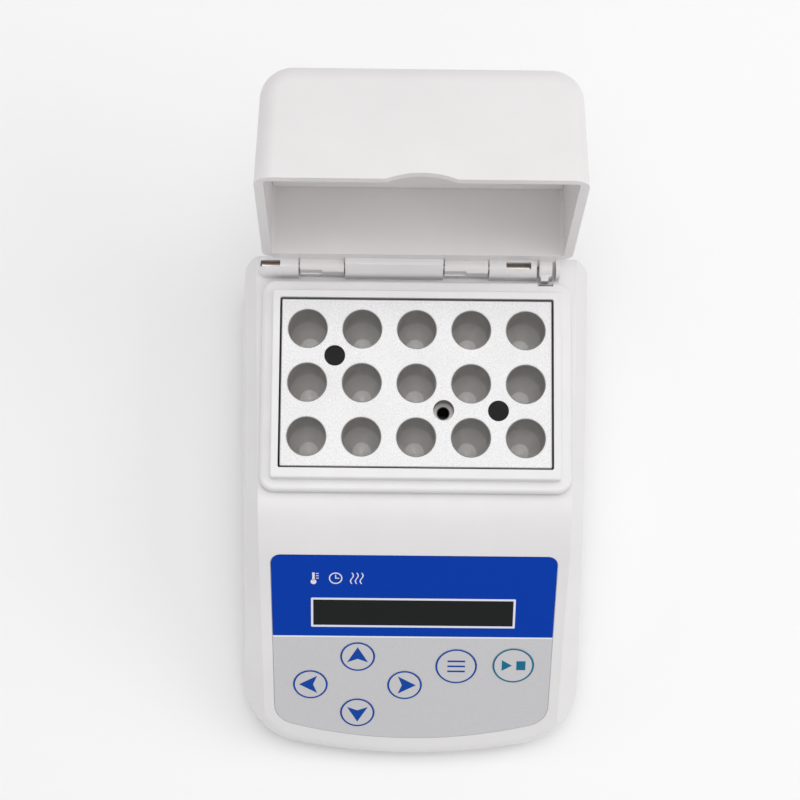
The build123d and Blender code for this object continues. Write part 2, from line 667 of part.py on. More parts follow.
with BuildPart() as tact_switches:
    for x, s, r in BUTTONS.values():
        with BuildSketch(slope_plane.offset(-KEYPAD_TOP)):
            with Locations((x, -s)):
                RectangleRounded(SWITCH_SIZE, SWITCH_SIZE, 0.4)
        extrude(amount=KEYPAD_TOP - SWITCH_TOP)
        with BuildSketch(slope_plane.offset(-SWITCH_TOP)):
            with Locations((x, -s)):
                Circle(1.75)
        extrude(amount=SWITCH_TOP - PLUNGER_TOP)
save(tact_switches, "tact_switches")

for name, (x, s, r) in BUTTONS.items():
    with BuildPart() as button:
        with BuildSketch(slope_plane.offset(-OVERLAY_DEPTH)):
            with Locations((x, -s)):
                Circle(r - BUTTON_GAP)
        extrude(amount=OVERLAY_DEPTH + OVERLAY_PROUD + 0.1)
        fillet(button.faces().sort_by(Axis(slope_plane.origin, slope_plane.z_dir))[-1].edges(), radius=0.15)
        with BuildSketch(slope_plane.offset(-OVERLAY_DEPTH)):
            with Locations((x, -s)):
                Circle(STEM_R)
        extrude(amount=-(STEM_TIP - OVERLAY_DEPTH))
    save(button, name)

# ---------------------------------------------------------------- main board

with BuildPart() as main_board:
    with BuildSketch(Plane.XY.offset(MAIN_Z)):
        with Locations((0, BLOCK_Y + sum(MAIN_RANGE) / 2)):
            Rectangle(MAIN_X, MAIN_RANGE[1] - MAIN_RANGE[0])
        with Locations(around_block(STANDOFFS)):
            Circle(1.4, mode=Mode.SUBTRACT)
    extrude(amount=BOARD_T)
save(main_board, "main_board")

board_top = MAIN_Z + BOARD_T
CHIPS = [(0, -12, 12, 12, 2.0), (-20, -12, 8, 6, 1.8), (16, -14, 6, 5, 1.6), (-8, 12, 10, 10, 5.0)]
CONNECTORS = [(-2, -36, 14, 5), (-28, 4, 8, 5), (28, 8, 8, 5), (24, 20, 10, 5)]
CAPACITORS = [(-20, 12, 4.0), (10, 12, 3.2), (20, 4, 3.2)]
with BuildPart() as board_components:
    for x, y, width, depth, height in CHIPS:
        with BuildSketch(Plane.XY.offset(board_top)):
            with Locations((x, BLOCK_Y + y)):
                Rectangle(width, depth)
        extrude(amount=height)
    for x, y, width, depth in CONNECTORS:
        with BuildSketch(Plane.XY.offset(board_top)):
            with Locations((x, BLOCK_Y + y)):
                Rectangle(width, depth)
        extrude(amount=5.5)
    for x, y, r in CAPACITORS:
        with BuildSketch(Plane.XY.offset(board_top)):
            with Locations((x, BLOCK_Y + y)):
                Circle(r)
        extrude(amount=7.5)
save(board_components, "board_components")

with BuildPart() as board_screws:
    with BuildSketch(Plane.XY.offset(board_top)):
        with Locations(around_block(STANDOFFS)):
            Circle(2.4)
    extrude(amount=1.6)
    with BuildSketch(Plane.XY.offset(board_top)):
        with Locations(around_block(STANDOFFS)):
            Circle(1.25)
    extrude(amount=-6)
save(board_screws, "board_screws")

# ---------------------------------------------------------------- rear sockets

with BuildPart() as power_inlet:
    with BuildSketch(Plane.XZ.offset(-POCKET_Y)):
        with Locations((INLET_X, INLET_Z)):
            Circle(5.5)
    extrude(amount=-1.2)
    with BuildSketch(Plane.XZ.offset(-POCKET_Y)):
        with Locations((INLET_X, INLET_Z)):
            Circle(4.0)
    extrude(amount=13)
    with BuildSketch(Plane.XZ.offset(-POCKET_Y - 1.2)):
        with Locations((INLET_X, INLET_Z)):
            Circle(2.85)
            Circle(1.0, mode=Mode.SUBTRACT)
    extrude(amount=10, mode=Mode.SUBTRACT)
save(power_inlet, "power_inlet")

with BuildPart() as inlet_nut:
    with BuildSketch(Plane.XZ.offset(-(POCKET_Y - 3))):
        with Locations((INLET_X, INLET_Z)):
            RegularPolygon(radius=5.5, side_count=6, major_radius=False)
            Circle(4.02, mode=Mode.SUBTRACT)
    extrude(amount=2)
save(inlet_nut, "inlet_nut")

with BuildPart() as power_switch_housing:
    with BuildSketch(Plane.XZ.offset(-POCKET_Y)):
        with Locations((SWITCH_X, SWITCH_Z)):
            RectangleRounded(21, 15, 1)
    extrude(amount=-1.6)
    with BuildSketch(Plane.XZ.offset(-POCKET_Y)):
        with Locations((SWITCH_X, SWITCH_Z)):
            Rectangle(19, 13)
    extrude(amount=13)
    with BuildSketch(Plane.XZ.offset(-POCKET_Y - 2)):
        with Locations((SWITCH_X, SWITCH_Z)):
            Rectangle(16.2, 9.6)
    extrude(amount=11, mode=Mode.SUBTRACT)
    with BuildSketch(Plane.XY.offset(SWITCH_Z - 5.8)):
        with Locations((SWITCH_X, POCKET_Y - 1)):
            Circle(1.25)
    extrude(amount=11.6, mode=Mode.SUBTRACT)
save(power_switch_housing, "power_switch_housing")

rocker_plane = Plane(
    origin=(SWITCH_X, POCKET_Y - 1, SWITCH_Z),
    x_dir=(cos(radians(ROCKER_TILT)), sin(radians(ROCKER_TILT)), 0),
    z_dir=(0, 0, 1),
)
with BuildPart() as power_rocker:
    with BuildSketch(rocker_plane.offset(-4.6)):
        with BuildLine():
            Polyline((0, 1.6), (7.4, 2.6), (7.4, 0.5), (4, -4.5), (-4, -4.5), (-7.4, 0.5), (-7.4, 2.6), close=True)
        make_face()
    extrude(amount=9.2)
    with BuildSketch(rocker_plane.offset(-5.6)):
        Circle(1.2)
    extrude(amount=11.2)
save(power_rocker, "power_rocker")

# ---------------------------------------------------------------- lid and hinge

for name, (low, high) in (("hinge_pin_left", LEFT_PIN), ("hinge_pin_right", RIGHT_PIN)):
    with BuildPart() as pin:
        with BuildSketch(hinge_side_plane.offset(low)):
            Circle(PIN_R)
        extrude(amount=high - low)
        chamfer(pin.edges().filter_by(GeomType.CIRCLE), length=0.2)
    save(pin, name)


def lid_form(inset):
    """The lid's rounded box, moved in by inset."""
    with BuildPart() as form:
        with BuildSketch(lid_section_plane.offset(inset)) as section:
            foot_half, top_half = LID_HALF - inset, LID_TOP_HALF - inset
            top = LID_TOP - inset
            with BuildLine():
                Polyline(
                    (-foot_half, LID_RIM),
                    (-top_half, top),
                    (top_half, top),
                    (foot_half, LID_RIM),
                    close=True,
                )
            make_face()
            fillet(section.vertices().group_by(Axis.Y)[-1], radius=LID_ROUND - inset)
        extrude(amount=LID_DEPTH - 2 * inset)
        along = Axis(lid_plane.origin, lid_forward)
        upward = Axis(lid_plane.origin, lid_plane.z_dir)
        ends = form.faces().sort_by(along)
        fillet(ends[-1].edges().sort_by(upward)[1:], radius=LID_FRONT_R - inset)
        ends = form.faces().sort_by(along)
        fillet(ends[0].edges().sort_by(upward)[1:], radius=LID_REAR_R - inset)
    return form.part


def lid_slab(gap, low, high):
    """A straight-sided slab of the lid's cavity, gap clear of its walls."""
    with BuildPart() as slab:
        with BuildSketch(lid_plane.offset(low)):
            with Locations((0, (CAVITY_REAR + CAVITY_FRONT) / 2)):
                RectangleRounded(
                    2 * (CAVITY_HALF - gap), CAVITY_REAR - CAVITY_FRONT - 2 * gap, CAVITY_R
                )
        extrude(amount=high - low)
    return slab.part


def lid_core(inset, low):
    """The lid's form moved in by inset, kept only above the height low."""
    with BuildPart() as core:
        add(lid_form(inset))
        with BuildSketch(lid_plane.offset(low)):
            with Locations((0, -LID_BACK - LID_DEPTH / 2)):
                Rectangle(2 * LID_HALF + 10, LID_DEPTH + 10)
        extrude(amount=-(LID_TOP + 10), mode=Mode.SUBTRACT)
    return core.part


def hinge_arm(low, high, barrel):
    """A barrel round the hinge axis with a gusset that runs up into the lid's rear wall."""
    root = -LID_BACK - 0.9
    with BuildPart() as arm:
        with BuildSketch(lid_side_plane.offset(low)):
            Circle(barrel)
            with BuildLine():
                Polyline(
                    (0, 0),
                    (0, barrel),
                    (root, barrel + 3.65),
                    (root, LID_RIM + 0.05),
                    (-2.5, LID_RIM + 0.05),
                    close=True,
                )
            make_face()
        extrude(amount=high - low)
    return arm.part


with BuildPart() as lid_shell:
    add(lid_form(0))
    add(lid_slab(0, LID_RIM - 2, LINER_TOP), mode=Mode.SUBTRACT)
    add(lid_core(LID_WALL, LINER_TOP - 0.1), mode=Mode.SUBTRACT)
    # finger scoop in the middle of the front rim
    scoop_r = (SCOOP_WIDTH**2 / 4 + SCOOP_RISE**2) / (2 * SCOOP_RISE)
    with BuildSketch(lid_section_plane.offset(LID_DEPTH - LID_WALL - 1)):
        with Locations((0, LID_RIM + SCOOP_RISE - scoop_r)):
            Circle(scoop_r)
    extrude(amount=LID_WALL + 2, mode=Mode.SUBTRACT)
    # hinge knuckles, and the stop lever beside the right-hand ribs
    for low, high in LID_KNUCKLES:
        add(hinge_arm(low, high, BARREL_R))
        with BuildSketch(lid_side_plane.offset(low)):
            Circle(PIN_R + 0.05)
            with Locations((0, -KNUCKLE_FLAT - 1)):
                Rectangle(2 * BARREL_R + 1, 2)
        extrude(amount=high - low, mode=Mode.SUBTRACT)
        with BuildSketch(lid_side_plane.offset(low)):
            with Locations((-1.3, -KNUCKLE_STEP - 1)):
                Rectangle(3.8, 2)
        extrude(amount=(high - low) / 2, mode=Mode.SUBTRACT)
    add(hinge_arm(*LEVER, 2.6))
    with BuildSketch(lid_section_plane.offset(-LID_BACK - 1.2)):
        with BuildLine():
            Polyline(
                (LEVER[0], 0),
                (LEVER[0], -2.3),
                (LEVER[0] + 0.5, -3.0),
                (LEVER[0] + 0.5, -LEVER_REACH),
                (LEVER[1] - 1.1, -LEVER_REACH),
                (LEVER[1] - 1.1, -3.0),
                (LEVER[1], -2.3),
                (LEVER[1], 0),
                close=True,
            )
        make_face()
    extrude(amount=2.4)
save(lid_shell, "lid_shell")

with BuildPart() as lid_liner:
    add(lid_slab(0.1, LINER_LOW, LINER_TOP))
save(lid_liner, "lid_liner")

with BuildPart() as lid_insulation:
    add(lid_core(LID_WALL + 0.1, LINER_TOP + 0.1))
save(lid_insulation, "lid_insulation")
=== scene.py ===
from math import cos, pi, radians, sin

import bmesh
import bpy
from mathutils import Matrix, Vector


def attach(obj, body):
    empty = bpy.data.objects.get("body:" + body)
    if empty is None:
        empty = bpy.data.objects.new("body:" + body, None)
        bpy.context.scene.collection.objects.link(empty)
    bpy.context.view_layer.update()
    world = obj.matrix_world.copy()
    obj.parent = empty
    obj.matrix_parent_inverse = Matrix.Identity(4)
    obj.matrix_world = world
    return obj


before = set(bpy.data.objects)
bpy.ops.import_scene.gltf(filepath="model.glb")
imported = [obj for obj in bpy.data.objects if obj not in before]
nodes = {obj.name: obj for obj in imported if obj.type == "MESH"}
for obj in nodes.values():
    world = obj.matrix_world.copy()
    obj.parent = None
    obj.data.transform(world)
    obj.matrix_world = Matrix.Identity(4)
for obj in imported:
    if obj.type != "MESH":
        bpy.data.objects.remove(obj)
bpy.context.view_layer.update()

MM = 0.001

# The panel plane: u across, s down the slope from the panel's top edge, w out of the panel
SLOPE = radians(38.45)
DOWN = Vector((0, -cos(SLOPE), -sin(SLOPE)))
OUT = Vector((0, -sin(SLOPE), cos(SLOPE)))
PANEL_TOP = Vector((0, -34.671, 52.862)) * MM
OVERLAY_TOP = 0.1
BUTTON_TOP = 0.2
BUTTONS = {
    "up": (-16.1, 35.08, 5.15),
    "down": (-16.1, 55.32, 5.15),
    "left": (-30.06, 45.2, 5.15),
    "right": (-2.14, 45.2, 5.15),
    "program": (13.0, 38.25, 6.15),
    "start_stop": (29.84, 37.8, 6.15),
}
# the blue field ends here, and a pale line of this width follows it
FIELD_END = 27.8
FIELD_LINE = 0.5
# half width and half height of the display window, and how far down the slope its middle is
WINDOW_HALF_U, WINDOW_HALF_S, WINDOW_MIDDLE = 58.2 / 2, 8.8 / 2, 19.55

# The heating block, in metres: above WALL_TOP is the blasted face, below it the walls of the holes
WALL_TOP = 0.06585
WELL_FLOOR, WELL_DEPTH = 0.0370, 0.0290
LIFTING_HOLE = (0.0078, 0.0057)
LIFTING_HOLE_R = 0.0019
TURNING_MARKS_PER_METRE = 2600

# ------------------------------------------------------------------ shader helpers


def new_material(name):
    m = bpy.data.materials.new(name)
    m.use_nodes = True
    tree = m.node_tree
    shader = tree.nodes["Principled BSDF"]
    return m, tree, shader


def node(tree, kind, **values):
    """A new node; each value goes to the property of that name or else to the input."""
    n = tree.nodes.new(kind)
    for key, value in values.items():
        if hasattr(n, key):
            setattr(n, key, value)
        else:
            n.inputs[key].default_value = value
    return n


def link(tree, a, b):
    tree.links.new(a, b)


def coords(tree):
    return node(tree, "ShaderNodeTexCoord").outputs["Object"]


def noise(tree, vector, scale, detail=3.0, rough=0.55):
    n = node(tree, "ShaderNodeTexNoise", Scale=scale, Detail=detail, Roughness=rough)
    link(tree, vector, n.inputs["Vector"])
    return n.outputs["Fac"]


def ramp(tree, fac, stops, interpolation="LINEAR"):
    r = node(tree, "ShaderNodeValToRGB")
    r.color_ramp.interpolation = interpolation
    while len(r.color_ramp.elements) < len(stops):
        r.color_ramp.elements.new(0.5)
    for element, (place, colour) in zip(r.color_ramp.elements, stops):
        element.position = place
        element.color = (*colour, 1) if len(colour) == 3 else colour
    link(tree, fac, r.inputs["Fac"])
    return r.outputs["Color"]


def calc(tree, op, a, b=None, clamp=False):
    """The output of one Math node; a and b are numbers or sockets."""
    n = node(tree, "ShaderNodeMath", operation=op, use_clamp=clamp)
    for socket, value in zip(n.inputs, (a, b)):
        if value is None:
            continue
        if isinstance(value, (int, float)):
            socket.default_value = value
        else:
            link(tree, value, socket)
    return n.outputs[0]


# the Mix node repeats its socket names for each data type; these are the colour ones
MIX_A, MIX_B, MIX_RESULT = 6, 7, 2


def mix(tree, fac, a, b, kind="MIX"):
    n = node(tree, "ShaderNodeMix", data_type="RGBA", blend_type=kind)
    for socket, value in ((n.inputs["Factor"], fac), (n.inputs[MIX_A], a), (n.inputs[MIX_B], b)):
        if isinstance(value, (int, float)):
            socket.default_value = value
        elif isinstance(value, tuple):
            socket.default_value = (*value, 1)
        else:
            link(tree, value, socket)
    return n.outputs[MIX_RESULT]


def bump(tree, shader, height, strength, distance):
    b = node(tree, "ShaderNodeBump", Strength=strength, Distance=distance)
    link(tree, height, b.inputs["Height"])
    link(tree, b.outputs["Normal"], shader.inputs["Normal"])
    return b


def shade(value, factor):
    return tuple(min(1.0, c * factor) for c in value)


def inside_box(tree, at, low, high):
    """1 inside the box between low and high, 0 outside it."""
    split = node(tree, "ShaderNodeSeparateXYZ")
    link(tree, at, split.inputs[0])
    mask = 1.0
    for axis, start, end in zip("XYZ", low, high):
        mask = calc(tree, "MULTIPLY", mask, calc(tree, "GREATER_THAN", split.outputs[axis], start))
        mask = calc(tree, "MULTIPLY", mask, calc(tree, "LESS_THAN", split.outputs[axis], end))
    return mask


def moulded(name, colour, rough=0.42, grain=0.00003, scale=2600, sheen=0.5, variation=0.03, dark=None):
    """Injection-moulded plastic: fine spark-eroded grain, faint flow variation, and painted shade, near
    black, inside one box.
    """
    m, tree, shader = new_material(name)
    at = coords(tree)
    flow = noise(tree, at, 28, 4)
    tint = ramp(tree, flow, [(0.3, shade(colour, 1 - variation)), (0.7, shade(colour, 1 + variation))])
    # painted shade: near black inside the given box, standing in for the shadow in a deep pocket
    if dark:
        tint = mix(tree, inside_box(tree, at, *dark), tint, (0.008, 0.008, 0.008))
    link(tree, tint, shader.inputs["Base Color"])
    fine = noise(tree, at, scale, 2, 0.6)
    blotch = noise(tree, at, 160, 3)
    gloss = ramp(tree, blotch, [(0.3, (rough - 0.05,) * 3), (0.75, (rough + 0.07,) * 3)])
    link(tree, gloss, shader.inputs["Roughness"])
    bump(tree, shader, fine, 0.25, grain)
    shader.inputs["IOR"].default_value = 1.5
    shader.inputs["Specular IOR Level"].default_value = sheen
    return m


def metal(name, colour, rough=0.3, scale=900, stretch=(1, 1, 1), grain=0.00002, metallic=1.0, variation=0.08):
    """Turned, drawn or blasted metal; stretch lays the grain along an axis."""
    m, tree, shader = new_material(name)
    at = coords(tree)
    place = node(tree, "ShaderNodeMapping")
    place.inputs["Scale"].default_value = stretch
    link(tree, at, place.inputs["Vector"])
    fine = noise(tree, place.outputs["Vector"], scale, 3, 0.65)
    tint = ramp(tree, fine, [(0.3, shade(colour, 1 - variation)), (0.7, shade(colour, 1 + variation))])
    link(tree, tint, shader.inputs["Base Color"])
    gloss = ramp(tree, fine, [(0.3, (rough - 0.06,) * 3), (0.7, (rough + 0.08,) * 3)])
    link(tree, gloss, shader.inputs["Roughness"])
    shader.inputs["Metallic"].default_value = metallic
    bump(tree, shader, fine, 0.35, grain)
    return m


# ------------------------------------------------------------------ materials

WHITE = (0.80, 0.785, 0.79)
BLUE = (0.0002, 0.044, 0.40)

casing_white = moulded("casing_white", WHITE, rough=0.36, grain=0.00002)
lid_white = moulded("lid_white", (0.80, 0.778, 0.78), rough=0.40, grain=0.00003)
# painted light: the lid's own plastic made lighter for the liner, so the inside of the lid reads brighter
liner_white_painted_light = moulded("liner_white_painted_light", (0.91, 0.888, 0.89), rough=0.40, grain=0.00003)
# painted shade, near black, in the pocket that the lid's stop lever dips into; the box from corner to corner,
# in metres
NOTCH_PAINTED_SHADE = ((0.0349, 0.0428, 0.0590), (0.0394, 0.0442, 0.0629))
frame_white = moulded("frame_white", (0.81, 0.80, 0.805), rough=0.34, grain=0.000015, dark=NOTCH_PAINTED_SHADE)
black_moulded = moulded("black_moulded", (0.022, 0.022, 0.024), rough=0.38)
plug_black = moulded("plug_black", (0.006, 0.006, 0.007), rough=0.5, grain=0.00001, sheen=0.16)
rubber = moulded("foot_rubber", (0.02, 0.02, 0.021), rough=0.75, grain=0.00006)
pin_steel = metal("pin_steel", (0.42, 0.37, 0.33), rough=0.28, scale=1800, stretch=(0.1, 1, 1))
screw_steel = metal("screw_steel", (0.55, 0.55, 0.56), rough=0.3)
board_green = moulded("board_green", (0.02, 0.16, 0.07), rough=0.3)
film_amber = moulded("film_amber", (0.45, 0.2, 0.04), rough=0.25)
fibre = moulded("insulating_fibre", (0.8, 0.78, 0.7), rough=0.9, grain=0.0003, scale=500)


def blasted_block():
    """Bead-blasted aluminium on top, turned metal down the wells with painted shade darkening towards their
    mouths, and a tapped hole painted near black as shade.
    """
    m, tree, shader = new_material("blasted_aluminium")
    at = coords(tree)
    split = node(tree, "ShaderNodeSeparateXYZ")
    link(tree, at, split.inputs[0])
    z = split.outputs["Z"]
    sparkle = noise(tree, at, 3600, 2, 0.7)
    cloud = noise(tree, at, 60, 3)
    tint = ramp(tree, sparkle, [(0.34, (0.60, 0.595, 0.60)), (0.66, (0.83, 0.825, 0.83))])
    soft = ramp(tree, cloud, [(0.3, (0.95, 0.95, 0.95)), (0.7, (1, 1, 1))])
    colour = mix(tree, 1.0, tint, soft, "MULTIPLY")
    # straight walls, cones and end discs of the wells: turning marks, and painted shade that is darkest at
    # the mouth and brighter as they go down, with a painted bright end disc
    rings = calc(tree, "FRACT", calc(tree, "MULTIPLY", z, TURNING_MARKS_PER_METRE))
    marks = ramp(tree, rings, [(0.0, (0.96, 0.96, 0.96)), (0.5, (1, 1, 1)), (1.0, (0.96, 0.96, 0.96))])
    height = calc(tree, "DIVIDE", calc(tree, "SUBTRACT", z, WELL_FLOOR), WELL_DEPTH, clamp=True)
    painted_depth_shade = ramp(tree, height, [
        (0.0, (1.0, 0.99, 0.985)), (0.012, (1.0, 0.99, 0.985)),
        (0.02, (0.90, 0.885, 0.875)), (0.38, (0.92, 0.91, 0.90)),
        (0.43, (0.76, 0.745, 0.735)), (0.80, (0.56, 0.545, 0.53)), (1.0, (0.32, 0.31, 0.30)),
    ])
    walls = mix(tree, 1.0, marks, painted_depth_shade, "MULTIPLY")
    colour = mix(tree, calc(tree, "LESS_THAN", z, WALL_TOP), colour, walls)
    # painted shade: the lifting hole's narrow part coloured near black, where it lies in shadow
    across = calc(tree, "SUBTRACT", split.outputs["X"], LIFTING_HOLE[0])
    along = calc(tree, "SUBTRACT", split.outputs["Y"], LIFTING_HOLE[1])
    off = calc(tree, "ADD", calc(tree, "MULTIPLY", across, across), calc(tree, "MULTIPLY", along, along))
    colour = mix(tree, calc(tree, "LESS_THAN", off, LIFTING_HOLE_R**2), colour, (0.05, 0.05, 0.05))
    link(tree, colour, shader.inputs["Base Color"])
    shader.inputs["Metallic"].default_value = 0.4
    gloss = ramp(tree, sparkle, [(0.3, (0.38,) * 3), (0.7, (0.54,) * 3)])
    link(tree, gloss, shader.inputs["Roughness"])
    bump(tree, shader, sparkle, 0.4, 0.00002)
    return m


block_metal = blasted_block()


def panel_print():
    """Printed polyester: blue field above, silver below, a pale line between."""
    m, tree, shader = new_material("panel_print")
    at = coords(tree)
    split = node(tree, "ShaderNodeSeparateXYZ")
    link(tree, at, split.inputs[0])
    # distance down the slope, in mm
    y = calc(tree, "SUBTRACT", split.outputs["Y"], PANEL_TOP.y)
    z = calc(tree, "SUBTRACT", split.outputs["Z"], PANEL_TOP.z)
    run = calc(tree, "ADD", calc(tree, "MULTIPLY", y, DOWN.y), calc(tree, "MULTIPLY", z, DOWN.z))
    s = calc(tree, "MULTIPLY", run, 1000)
    fine = noise(tree, at, 3000, 2)
    blue = ramp(tree, fine, [(0.3, shade(BLUE, 0.96)), (0.7, shade(BLUE, 1.06))])
    silver = ramp(tree, fine, [(0.3, (0.575, 0.57, 0.585)), (0.7, (0.635, 0.63, 0.645))])
    lower = calc(tree, "GREATER_THAN", s, FIELD_END)
    line = calc(tree, "MULTIPLY", lower, calc(tree, "LESS_THAN", s, FIELD_END + FIELD_LINE))
    colour = mix(tree, lower, blue, silver)
    colour = mix(tree, line, colour, (0.85, 0.86, 0.9))
    link(tree, colour, shader.inputs["Base Color"])
    shader.inputs["Roughness"].default_value = 0.42
    shader.inputs["Specular IOR Level"].default_value = 0.07
    bump(tree, shader, fine, 0.15, 0.00001)
    return m


overlay_print = panel_print()
key_film = moulded("key_film", (0.605, 0.60, 0.615), rough=0.42, grain=0.00001, sheen=0.2)
ink_blue = moulded("ink_blue", (0.001, 0.06, 0.37), rough=0.45, grain=0.00001, sheen=0.15)
ink_teal = moulded("ink_teal", (0.006, 0.15, 0.27), rough=0.45, grain=0.00001, sheen=0.15)
ink_white = moulded("ink_white", (0.80, 0.80, 0.86), rough=0.4, grain=0.00001)
glass_dark = moulded("display_dark", (0.010, 0.012, 0.012), rough=0.16, grain=0.000002, sheen=0.12)
lcd_dark = moulded("lcd_dark", (0.03, 0.04, 0.035), rough=0.2, grain=0.000002)

LOOKS = {
    "top_shell": casing_white,
    "bottom_shell": casing_white,
    "block_frame": frame_white,
    "lid_shell": lid_white,
    "lid_liner": liner_white_painted_light,
    "lid_insulation": fibre,
    "heating_block": block_metal,
    "heater_base": block_metal,
    "block_screw_plugs": plug_black,
    "panel_overlay": overlay_print,
    "display_window": glass_dark,
    "lcd_panel": lcd_dark,
    "rubber_feet": rubber,
    "hinge_pin_left": pin_steel,
    "hinge_pin_right": pin_steel,
    "temperature_sensor": screw_steel,
    "thermal_cutout": screw_steel,
    "heater_film": film_amber,
    "insulation_pad": fibre,
    "insulation_jacket": fibre,
}
for group, look in (
    (("case_screws", "block_fixing_screws", "heater_base_screws"), screw_steel),
    (("panel_screws", "board_screws", "inlet_nut"), screw_steel),
    (("display_board", "keypad_board", "main_board"), board_green),
    (("tact_switches", "board_components"), black_moulded),
    (("power_inlet", "power_switch_housing", "power_rocker"), black_moulded),
    (tuple(f"{name}_button" for name in BUTTONS), key_film),
):
    for name in group:
        LOOKS[name] = look
for name, o in nodes.items():
    o.data.materials.clear()
    o.data.materials.append(LOOKS[name])

# ------------------------------------------------------------------ printed marks


def on_panel(u, s, w):
    return PANEL_TOP + Vector((u, 0, 0)) * MM + DOWN * (s * MM) + OUT * (w * MM)


def add_piece(name, bm, material, body):
    mesh = bpy.data.meshes.new(name)
    bm.normal_update()
    bm.to_mesh(mesh)
    bm.free()
    mesh.materials.append(material)
    piece = bpy.data.objects.new(name, mesh)
    bpy.context.scene.collection.objects.link(piece)
    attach(piece, body)
    return piece


def decal(name, outlines, low, high, material, body, place=on_panel):
    """Thin printed shapes; each outline is a list of (u, s), or a pair of loops for a ring."""
    bm = bmesh.new()
    for outline in outlines:
        if isinstance(outline, dict):
            loops = [outline["outer"], outline["inner"]]
            rings = [[[bm.verts.new(place(u, s, w)) for u, s in loop] for loop in loops] for w in (low, high)]
            n = len(loops[0])
            for i in range(n):
                j = (i + 1) % n
                bm.faces.new([rings[1][0][i], rings[1][0][j], rings[1][1][j], rings[1][1][i]])
                bm.faces.new([rings[0][0][j], rings[0][0][i], rings[0][1][i], rings[0][1][j]])
                bm.faces.new([rings[0][0][i], rings[0][0][j], rings[1][0][j], rings[1][0][i]])
                bm.faces.new([rings[0][1][j], rings[0][1][i], rings[1][1][i], rings[1][1][j]])
        else:
            bottom = [bm.verts.new(place(u, s, low)) for u, s in outline]
            top = [bm.verts.new(place(u, s, high)) for u, s in outline]
            n = len(outline)
            bm.faces.new(top)
            bm.faces.new(bottom[::-1])
            for i in range(n):
                j = (i + 1) % n
                bm.faces.new([bottom[i], bottom[j], top[j], top[i]])
    bmesh.ops.recalc_face_normals(bm, faces=bm.faces)
    return add_piece(name, bm, material, body)


def circle(u, s, r, n=72):
    return [(u + r * cos(2 * pi * i / n), s + r * sin(2 * pi * i / n)) for i in range(n)]


def turned(points, u, s, angle):
    return [(u + x * cos(angle) - y * sin(angle), s + x * sin(angle) + y * cos(angle)) for x, y in points]


def bar(u, s, width, tall):
    """A rectangle, from its corner with the least u and s."""
    return [(u, s), (u + width, s), (u + width, s + tall), (u, s + tall)]


ARROW = [(3.35, 0), (-2.0, 3.1), (-0.8, 0), (-2.0, -3.1)]
HEADINGS = {"right": 0, "down": pi / 2, "left": pi, "up": -pi / 2}
INK = 0.02
MARK_LOW, MARK_HIGH = BUTTON_TOP - INK, BUTTON_TOP + INK
OVERLAY_LOW, OVERLAY_HIGH = OVERLAY_TOP - INK, OVERLAY_TOP + INK
for name, (u, s, r) in BUTTONS.items():
    body = f"{name}_button"
    ink = ink_teal if name == "start_stop" else ink_blue
    decal(
        f"key_ring_{name}",
        [{"outer": circle(u, s, r - 0.08), "inner": circle(u, s, r - 0.58)}],
        MARK_LOW, MARK_HIGH, ink, body,
    )
    if name in HEADINGS:
        shapes = [turned(ARROW, u, s, HEADINGS[name])]
    elif name == "program":
        shapes = [bar(u - 2.6, s + v, 5.2, 0.6) for v in (-2.1, -0.3, 1.5)]
    else:
        shapes = [
            [(u - 3.4, s - 1.9), (u - 0.4, s), (u - 3.4, s + 1.9)],
            bar(u + 0.9, s - 1.6, 2.7, 3.2),
        ]
    decal(f"key_mark_{name}", shapes, MARK_LOW, MARK_HIGH, ink, body)


def rounded(half_u, half_s, centre, r, n=6):
    """A rectangle with corners of radius r, its middle at (0, centre)."""
    points = []
    for side_u, side_s, start in ((1, 1, 0), (-1, 1, 90), (-1, -1, 180), (1, -1, 270)):
        cu, cs = side_u * (half_u - r), side_s * (half_s - r)
        for i in range(n + 1):
            a = radians(start + 90 * i / n)
            points.append((cu + r * cos(a), centre + cs + r * sin(a)))
    return points


decal(
    "window_outline",
    [{
        "outer": rounded(WINDOW_HALF_U + 0.65, WINDOW_HALF_S + 0.68, WINDOW_MIDDLE, 0.3),
        "inner": rounded(WINDOW_HALF_U + 0.02, WINDOW_HALF_S + 0.02, WINDOW_MIDDLE, 0.1),
    }],
    OVERLAY_LOW, OVERLAY_HIGH, ink_white, "casing",
)

# three small pictures above the window: a thermometer, a clock and rising heat
SIGN_S = 7.7
THERMOMETER_U, CLOCK_U = -29.0, -22.6
WAVES_U = (-17.9, -16.5, -15.1)
WAVE_SIDE, WAVE_SWING, WAVE_STEPS, WAVE_TALL = 0.17, 0.42, 12, 3.8
signs = [circle(THERMOMETER_U, SIGN_S + 1.25, 0.85, 24), bar(THERMOMETER_U - 0.35, SIGN_S - 1.9, 0.7, 2.8)]
signs += [bar(THERMOMETER_U + 0.7, SIGN_S + v, 0.8, 0.25) for v in (-1.7, -0.9, -0.1)]
signs.append({"outer": circle(CLOCK_U, SIGN_S, 1.95, 40), "inner": circle(CLOCK_U, SIGN_S, 1.6, 40)})
signs.append(bar(CLOCK_U - 0.15, SIGN_S - 1.2, 0.3, 1.35))
signs.append(bar(CLOCK_U + 0.15, SIGN_S - 0.15, 0.9, 0.3))
for u in WAVES_U:
    wave = [
        (WAVE_SWING * sin(2 * pi * i / WAVE_STEPS), SIGN_S + WAVE_TALL * (i / WAVE_STEPS - 0.5))
        for i in range(WAVE_STEPS + 1)
    ]
    right = [(u + WAVE_SIDE + x, s) for x, s in reversed(wave)]
    signs.append([(u - WAVE_SIDE + x, s) for x, s in wave] + right)
decal("panel_signs", signs, OVERLAY_LOW, OVERLAY_HIGH, ink_white, "casing")

# on and off marks on the two halves of the power rocker
ROCKER = Vector((22.0, 52.6, 18.6))
TILT = radians(9.0)
# each half of its face rises from the valley in the middle to the end
FACE_RUN, FACE_RISE, FACE_VALLEY = 7.4, 1.0, 1.6
ROCKER_MARK_LOW = -INK / 2


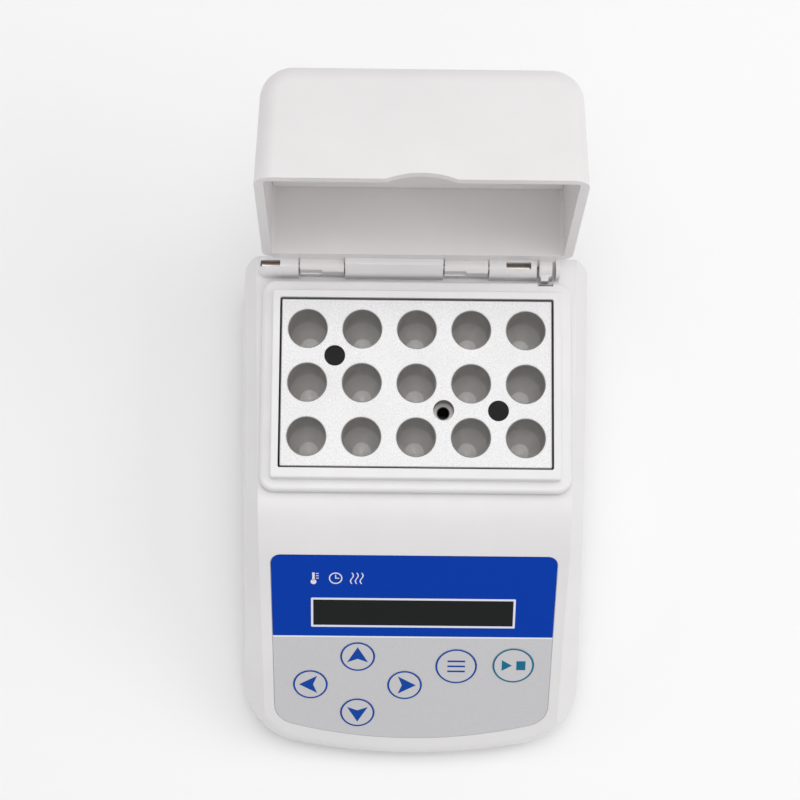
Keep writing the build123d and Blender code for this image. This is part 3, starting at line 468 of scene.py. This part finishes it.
def on_rocker(u, v, w):
    """u along the rocker from its middle, v up, w out of the face."""
    side = 1 if u > 0 else -1
    length = (FACE_RUN**2 + FACE_RISE**2) ** 0.5
    x = (FACE_RUN * u - side * FACE_RISE * w) / length
    y = FACE_VALLEY + (FACE_RISE * abs(u) + FACE_RUN * w) / length
    return (ROCKER + Vector((x * cos(TILT) - y * sin(TILT), x * sin(TILT) + y * cos(TILT), v))) * MM


decal(
    "rocker_on_mark", [bar(3.5, -1.5, 0.5, 3.0)],
    ROCKER_MARK_LOW, INK, ink_white, "rocker", on_rocker,
)
decal(
    "rocker_off_mark", [{"outer": circle(-3.8, 0, 1.5, 40), "inner": circle(-3.8, 0, 1.1, 40)}],
    ROCKER_MARK_LOW, INK, ink_white, "rocker", on_rocker,
)

# ------------------------------------------------------------------ stage, light and camera

floor_mesh = bpy.data.meshes.new("floor")
far = 6
floor_mesh.from_pydata([(-far, -far, 0), (far, -far, 0), (far, far, 0), (-far, far, 0)], [], [(0, 1, 2, 3)])
floor = bpy.data.objects.new("floor", floor_mesh)
bpy.context.scene.collection.objects.link(floor)
floor_look, floor_tree, floor_shader = new_material("floor_pale")
floor_shader.inputs["Base Color"].default_value = (0.97, 0.97, 0.97, 1)
floor_shader.inputs["Roughness"].default_value = 0.9
floor_mesh.materials.append(floor_look)


def area_light(name, place, target, size, power, colour=(1, 1, 1)):
    data = bpy.data.lights.new(name, "AREA")
    data.shape = "RECTANGLE"
    data.size, data.size_y = size
    data.energy = power
    data.color = colour
    lamp = bpy.data.objects.new(name, data)
    bpy.context.scene.collection.objects.link(lamp)
    lamp.location = place
    lamp.rotation_euler = (Vector(target) - Vector(place)).to_track_quat("-Z", "Y").to_euler()
    return lamp


area_light("soft_right", (0.80, 0.05, 0.75), (0, 0, 0.05), (0.7, 0.8), 3.1)
area_light("soft_left", (-0.85, 0.05, 0.60), (0, 0, 0.05), (0.7, 0.9), 1.0)
area_light("soft_top", (0.0, 0.32, 1.30), (0, 0, 0.05), (0.8, 0.6), 2.7)
area_light("soft_over", (0.0, -0.01, 1.25), (0, 0, 0.05), (0.4, 0.4), 1.5)
area_light("soft_front", (0.10, -0.95, 0.45), (0, 0, 0.07), (0.8, 0.4), 0.4)

world = bpy.context.scene.world or bpy.data.worlds.new("World")
bpy.context.scene.world = world
world.use_nodes = True
sky = world.node_tree.nodes["Background"]
sky.inputs["Color"].default_value = (1, 1, 1, 1)
sky.inputs["Strength"].default_value = 0.53

camera_data = bpy.data.cameras.new("camera")
camera_data.lens = 103.1
camera_data.sensor_width = 36.0
camera = bpy.data.objects.new("camera", camera_data)
bpy.context.scene.collection.objects.link(camera)
camera.location = (-0.01183, -0.10164, 0.70889)
camera.rotation_euler = (radians(9.72), radians(-0.721), radians(0.476))
bpy.context.scene.camera = camera
bpy.context.scene.view_settings.view_transform = "Standard"
